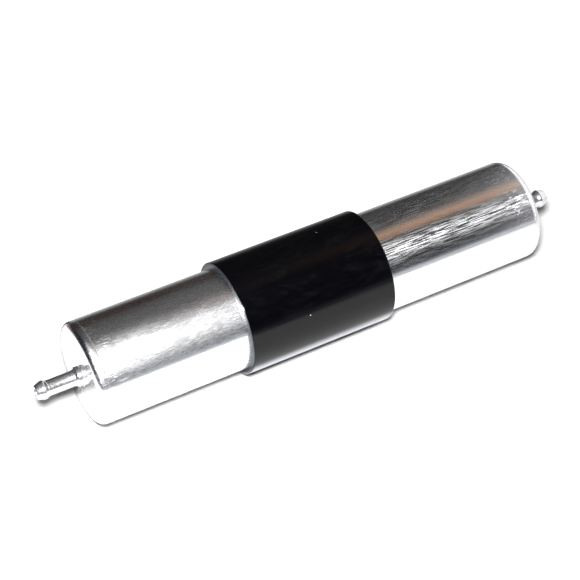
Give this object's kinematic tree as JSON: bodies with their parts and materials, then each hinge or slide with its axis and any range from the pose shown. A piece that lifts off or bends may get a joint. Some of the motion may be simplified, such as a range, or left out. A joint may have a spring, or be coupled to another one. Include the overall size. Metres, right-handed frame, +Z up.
{
  "type": "in-line fuel filter",
  "caption": "Long slim aluminium in-line fuel filter with a barbed hose stub at each end, a black rubber mounting sleeve round the can and a sprung pleated paper element inside.",
  "frame": {"origin": "on the can's centre line, half way between the tips of the two hose stubs, which puts the can's middle at x = 2.1 mm", "axes": "+X along the can from the inlet stub to the outlet stub, +Z up"},
  "size_m": [0.301, 0.0604, 0.0604],
  "materials": {
    "aluminium": "satin",
    "plated_steel": "gloss",
    "tinplate": "satin",
    "spring_steel": "satin",
    "black_rubber": "satin",
    "seal_rubber": "matte",
    "filter_paper": "matte",
    "adhesive": "satin"
  },
  "bodies": {
    "housing": {"can_body": "aluminium", "inlet_cover": "aluminium", "inlet_stub": "plated_steel", "outlet_stub": "plated_steel", "inlet_stub_seal": "seal_rubber", "outlet_stub_seal": "seal_rubber", "inlet_backing_washer": "plated_steel", "outlet_backing_washer": "plated_steel", "element_spring": "spring_steel"},
    "sleeve": {"mounting_sleeve": "black_rubber"},
    "element": {"pleated_paper": "filter_paper", "paper_seam_clip": "tinplate", "centre_tube": "tinplate", "inlet_end_disc": "tinplate", "outlet_end_disc": "tinplate", "inlet_bond_ring": "adhesive", "outlet_bond_ring": "adhesive", "element_face_seal": "seal_rubber"}
  },
  "joints": [
    {"name": "sleeve_slide", "type": "slide", "parent": "housing", "child": "sleeve", "axis": [1, 0, 0], "range_m": [-0.077, 0.09]},
    {"name": "element_lift", "type": "slide", "parent": "housing", "child": "element", "axis": [1, 0, 0], "range_m": [-0.0015, 0], "stiffness_N_per_m": 3000, "springref_m": 0.006, "deforming": ["element_spring"]}
  ]
}
